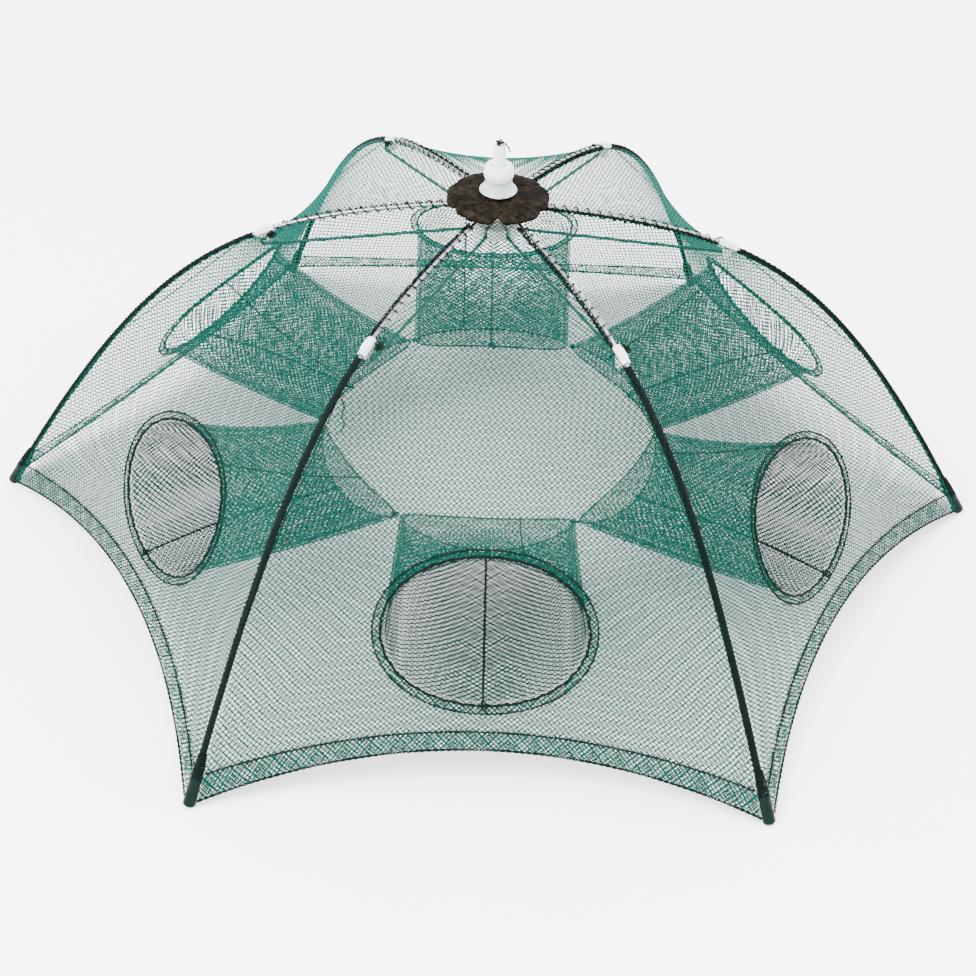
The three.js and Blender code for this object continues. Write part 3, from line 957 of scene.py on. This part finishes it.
def tip_cap():
    """One cap: nose, barrel, thicker lip, and the bore from its mouth to its blind end."""
    nose = [(cap_radius * math.sin(t), -0.0006 - 0.0026 * math.cos(t))
            for t in np.linspace(0.02, math.pi / 2, 9)]
    barrel = [(cap_radius * 0.97, 0.007), (cap_radius * 0.93, cap_mouth - 0.0035)]
    lip = [(cap_radius * 0.98, cap_mouth - 0.0028), (cap_radius * 0.96, cap_mouth - 0.0006)]
    mouth = [(cap_radius * 0.84, cap_mouth), (0.0020, cap_mouth), (0.0018, 0.0012), (0.0001, 0.0010)]
    bm = spun(nose + barrel + lip + mouth, 32)
    slope = Vector((tip_fall[0], 0, tip_fall[1])).normalized()
    turn = Vector((0, 0, 1)).rotation_difference(-slope).to_matrix()
    foot = Vector((wire_end[0], 0, wire_end[1])) + slope * cap_foot
    bmesh.ops.rotate(bm, verts=bm.verts, cent=(0, 0, 0), matrix=turn)
    bmesh.ops.translate(bm, verts=bm.verts, vec=foot)
    everything = bm.verts[:] + bm.edges[:] + bm.faces[:]
    cut = bmesh.ops.bisect_plane(bm, geom=everything, plane_co=(0, 0, cut_height),
                                 plane_no=(0, 0, -1), clear_outer=True)
    rim = [e for e in cut["geom_cut"] if isinstance(e, bmesh.types.BMEdge)]
    bmesh.ops.holes_fill(bm, edges=rim)
    bmesh.ops.recalc_face_normals(bm, faces=bm.faces)
    return mesh_of(bm)


cap_mesh = tip_cap()
for number in range(1, rib_count + 1):
    cap = piece(f"tip_cap_{number}_moulding", turned_copy(cap_mesh, rib_angle(number)), cap_plastic,
                f"rib_arm_{number}")
    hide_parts(f"tip_cap_{number}")
print("cap faces:", len(cap_mesh.polygons))

# %% [markdown]
# ## Bindings
# Twine lashes the net to each rib. From the hub to the elbow a twisted cord lies beside the
# bare wire under an open lashing. Below the elbow the net's edge is rolled round the wire:
# six strands hide it, and the turns over them close up toward the cap. Just above the cap
# the net is bunched and whipped tight. One screw line whose lay and radius change along the
# rib makes each of these.

# %% Binding of one rib
lash_twine = 0.0011
side_cord = 0.0020
roll_strand = 0.0015
roll_radius = 0.00145
roll_lay = 0.022
clip_reach = 0.010
bind_start = 0.022
bunch_length = 0.030
cord_end = rib_length - 0.016
roll_end = rib_length - 0.017
bind_end = rib_length - cap_mouth + 0.004


def along_rib(start, end, count, side=0.0, drop=0.0):
    """Points beside the rib, side across its plane and drop below it."""
    place = place_at_length(np.linspace(start, end, count))
    slope = rib_slope(place)
    below = np.column_stack([slope[:, 1], -slope[:, 0]])
    return lift_3d(rib_point(place) + drop * below, side)


def rib_binding():
    steps = 8
    above_clip = elbow_length - clip_reach
    below_clip = elbow_length + clip_reach
    bunch_start = rib_length - bunch_length
    beside = along_rib(bind_start, cord_end, 60, -0.0026, 0.0006)
    wire = along_rib(below_clip, roll_end, 60)
    turns = np.linspace(0, 2 * math.pi, 7)[:-1]
    rolled = [screw(wire, roll_radius, roll_lay, turn, steps) for turn in turns]
    open_lash = screw(along_rib(bind_start, above_clip, 40, -0.0008), 0.0030, 0.0085, 0.0, steps)
    cord = along_rib(bind_start, above_clip, 40, -0.0028, 0.0004)
    cord_lash = screw(cord, 0.0014, 0.0038, 1.0, steps)
    under = along_rib(below_clip, bunch_start, 60, -0.0003)
    closing = screw(under, 0.0021, [0.0062, 0.0036, 0.0030, 0.0028, 0.0026], 0.5, steps)
    crossing = screw(under, 0.0023, [-0.012, -0.0085], 0.0, steps)
    bunched = along_rib(bunch_start - 0.004, bind_end - 0.0015, 20)
    bunch = screw(bunched, [0.0028, 0.0036, 0.0040], 0.0013, 0.0, steps)
    return joined([
        bars(twine(beside, side_cord), side_cord / 2, 6),
        bars(rolled, roll_strand, 6),
        bars([open_lash, cord_lash, closing, bunch], lash_twine, 4),
        bars([crossing], lash_twine * 0.8, 4)])


binding_mesh = rib_binding()
print("binding faces:", len(binding_mesh.polygons))

# %% [markdown]
# Beside each elbow the ends of the lashing are tied off in a small tuft, and on one rib an
# end is left long. That loose tail is less than three centimetres, so it is a short path of
# given points.

# %% Tufts and the tail
tail_rib = 5
tail_twine = 0.0013
tail_place = elbow_length + 0.042


def tuft():
    centre = lift_3d((elbow_on_rib + np.array([-0.006, 0.001]))[None, :], 0.0062)[0]
    loops = [knot(centre, 0.0062), knot(centre + np.array([0.002, 0.001, -0.001]), 0.005)]
    return bars(loops, knot_twine, 6, closed=True)


def tail(points, diameter):
    """A loose end of twine through a few points."""
    points = np.array(points, float)
    at = np.arange(len(points))
    t = np.linspace(0, len(points) - 1, 10 * len(points))
    fine = np.stack([np.interp(t, at, points[:, axis]) for axis in range(3)], axis=1)
    window = np.ones(9) / 9
    padded = np.vstack([fine[:1]] * 4 + [fine] + [fine[-1:]] * 4)
    rounded = np.stack([np.convolve(padded[:, axis], window, "valid") for axis in range(3)], axis=1)
    return bars(twine(rounded, diameter), diameter / 2, 6)


tuft_mesh = tuft()
tail_start = along_rib(tail_place, tail_place + 0.001, 2, 0.0036)[0]
tail_path = tail_start + np.array([
    (0, 0, 0),
    (0.001, 0.004, -0.004),
    (0.004, 0.003, -0.011),
    (0.003, 0.005, -0.018),
    (0.006, 0.003, -0.024)])
loose_tail = tail(tail_path, tail_twine)
for number in range(1, rib_count + 1):
    meshes = [binding_mesh.copy(), tuft_mesh.copy()]
    if number == tail_rib:
        meshes.append(loose_tail)
    binding = joined(meshes)
    binding.transform(Matrix.Rotation(rib_angle(number), 4, "Z"))
    piece(f"rib_binding_{number}", binding, dark_twine, f"rib_arm_{number}")
print("bindings:", rib_count)

# %% [markdown]
# ## The hub
# The patch is a thick felt disc with a notch over the middle of each bay, deepest at the
# front. A line of points is spun into a disc, the edge is pulled in at the notches, and the
# felt is given its thickness and a soft, uneven surface.

# %% Felt patch
felt_low, felt_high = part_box("felt_patch")
patch_radius = (felt_high.x - felt_low.x) / 2
patch_thickness = 0.002
patch_top = felt_high.z
patch_bore = 0.0052
hub_radius = 0.018
patch_droop = 0.003
patch_margin = 0.0008
front_notch = 0.0062
other_notch = 0.0022
front_angle = -math.pi / 2


def felt_patch():
    bm = bmesh.new()
    rings = 26
    verts = [bm.verts.new((patch_bore + (1 - patch_bore) * i / rings, 0, 0)) for i in range(rings + 1)]
    edges = [bm.edges.new(pair) for pair in zip(verts, verts[1:])]
    bmesh.ops.spin(bm, geom=verts + edges, cent=(0, 0, 0), axis=(0, 0, 1), dvec=(0, 0, 0),
                   angle=2 * math.pi, steps=144, use_merge=True, use_duplicate=False)
    bmesh.ops.remove_doubles(bm, verts=bm.verts, dist=1e-6)
    for vert in bm.verts:
        share = (vert.co.xy.length - patch_bore) / (1 - patch_bore)
        angle = math.atan2(vert.co.y, vert.co.x)
        notch = max(0.0, math.cos(rib_count * angle + math.pi)) ** 8
        deep = front_notch if abs(angle - front_angle) < half else other_notch
        ragged = 0.0007 * noise.noise(Vector((3 * math.cos(angle), 3 * math.sin(angle), 0.5)) * 3)
        edge = patch_radius - patch_margin - deep * notch + ragged
        radius = patch_bore + (edge - patch_bore) * share
        flat = max(0.0, radius - hub_radius) / (patch_radius - hub_radius)
        vert.co.x = radius * math.cos(angle)
        vert.co.y = radius * math.sin(angle)
        vert.co.z = patch_top - patch_thickness - patch_droop * flat**2
    bmesh.ops.recalc_face_normals(bm, faces=bm.faces)
    bmesh.ops.solidify(bm, geom=bm.faces[:], thickness=-patch_thickness)
    bmesh.ops.recalc_face_normals(bm, faces=bm.faces)
    for vert in bm.verts:
        vert.co.z += 0.0004 * noise.noise(vert.co * 260) + 0.0003 * noise.noise(vert.co * 90)
    return mesh_of(bm)


patch = piece("felt_pad", felt_patch(), felt, "hub")
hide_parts("felt_patch")
print("felt faces:", len(patch.data.polygons))

# %% [markdown]
# The skirt is a bell that stands on a saucer, whose widest ring is a little above its foot.
# The collar is a rounded bead, and the stem a tube with a rounded mouth. Each is an outline
# spun round the axis, and their heights come from the frame's own pieces.

# %% Skirt, collar and stem
def moulding(name, profile, material, body, node):
    bm = spun(profile, 96)
    obj = piece(name, mesh_of(bm), material, body)
    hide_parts(node)
    return obj


skirt_low, skirt_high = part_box("hub_skirt")
collar_low, collar_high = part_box("hub_collar")
stem_low, stem_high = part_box("lift_stem")
bore = 0.0051
rise = np.linspace(0, 1, 18)
skirt_top = 0.0098
skirt_rim = skirt_low.z + 0.0034
bell_radius = skirt_high.x - 0.0004
bell_low = skirt_rim + 0.0008
saucer = [
    (bore, skirt_low.z),
    (skirt_high.x - 0.0046, skirt_low.z),
    (skirt_high.x - 0.0010, skirt_rim - 0.0010),
    (skirt_high.x, skirt_rim)]
bell = [(bell_radius - (bell_radius - skirt_top) * math.sin(t * math.pi / 2) ** 0.75,
         bell_low + (skirt_high.z - bell_low) * t) for t in rise]
moulding("hub_skirt_bell", saucer + bell + [(bore, skirt_high.z)], milky_plastic,
         "hub", "hub_skirt")
bead_in = 0.0078
bead = [(bead_in + (collar_high.x - bead_in) * math.sin(math.pi * (0.1 + 0.84 * t)) ** 0.6,
         collar_low.z + (collar_high.z - collar_low.z) * t) for t in rise]
moulding("hub_collar_bead", [(bore, collar_low.z)] + bead + [(bore, collar_high.z)], white_plastic,
         "hub", "hub_collar")
stem_radius = stem_high.x
stem_bore = stem_radius - 0.0016
stem_edge = 0.0008
stem_foot = [(stem_bore, stem_low.z), (stem_radius, stem_low.z)]
stem_lip = [(stem_radius - stem_edge + stem_edge * math.cos(t),
             stem_high.z - stem_edge + stem_edge * math.sin(t))
            for t in np.linspace(0, math.pi / 2, 6)]
moulding("stem_tube", stem_foot + stem_lip + [(stem_bore, stem_high.z)],
         white_plastic, "lift", "lift_stem")
print("stem top at", round(stem_high.z, 4))

# %% [markdown]
# The pull twine comes up inside the stem and is knotted over its mouth, with a short end
# that hangs over the edge.

# %% Pull twine
pull_diameter = 0.0014
mouth = stem_high.z
pull_end = tail([
    (-0.001, 0.0, mouth - 0.012),
    (-0.001, 0.0, mouth - 0.002),
    (0.0004, -0.0008, mouth + 0.0022),
    (0.0030, -0.0016, mouth + 0.0026),
    (0.0062, -0.0024, mouth - 0.0004),
    (0.0078, -0.0030, mouth - 0.0046)], pull_diameter)
pull_knot = bars([knot((-0.0006, -0.0004, mouth + 0.0022), 0.0052)], knot_twine, 6, closed=True)
pull = piece("pull_twine", joined([pull_end, pull_knot]), dark_twine, "lift")
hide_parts("pull_knot")
print("pull twine faces:", len(pull.data.polygons))

# %% [markdown]
# ## Floor and light
# The trap stands on a plain pale floor. A broad soft light from above and a bright sky give
# open shade, so that the thin threads stay legible and cast only faint shadows.

# %% Stage
ground = bmesh.new()
bmesh.ops.create_grid(ground, x_segments=1, y_segments=1, size=6)
floor = bpy.data.objects.new("studio_floor", mesh_of(ground))
bpy.context.scene.collection.objects.link(floor)
floor_paint = finish_of("studio_paint", (0.86, 0.86, 0.855), (0.88, 0.88, 0.875), 0.7, 3, 0.0)
floor.data.materials.append(floor_paint)

sky = bpy.data.worlds.new("sky")
bpy.context.scene.world = sky
sky.use_nodes = True
sky.node_tree.nodes["Background"].inputs["Color"].default_value = (1, 1, 1, 1)
sky.node_tree.nodes["Background"].inputs["Strength"].default_value = 5.0


def soft_light(name, place, size, power):
    lamp = bpy.data.lights.new(name, "AREA")
    lamp.size = size
    lamp.energy = power
    holder = bpy.data.objects.new(name, lamp)
    bpy.context.scene.collection.objects.link(holder)
    holder.location = place
    holder.rotation_mode = "QUATERNION"
    holder.rotation_quaternion = (-Vector(place)).to_track_quat("-Z", "Y")


soft_light("key", (-1.2, -1.0, 2.2), 1.6, 230)
soft_light("fill", (1.6, 0.8, 1.8), 2.0, 90)
print("lights:", len(bpy.data.lights))
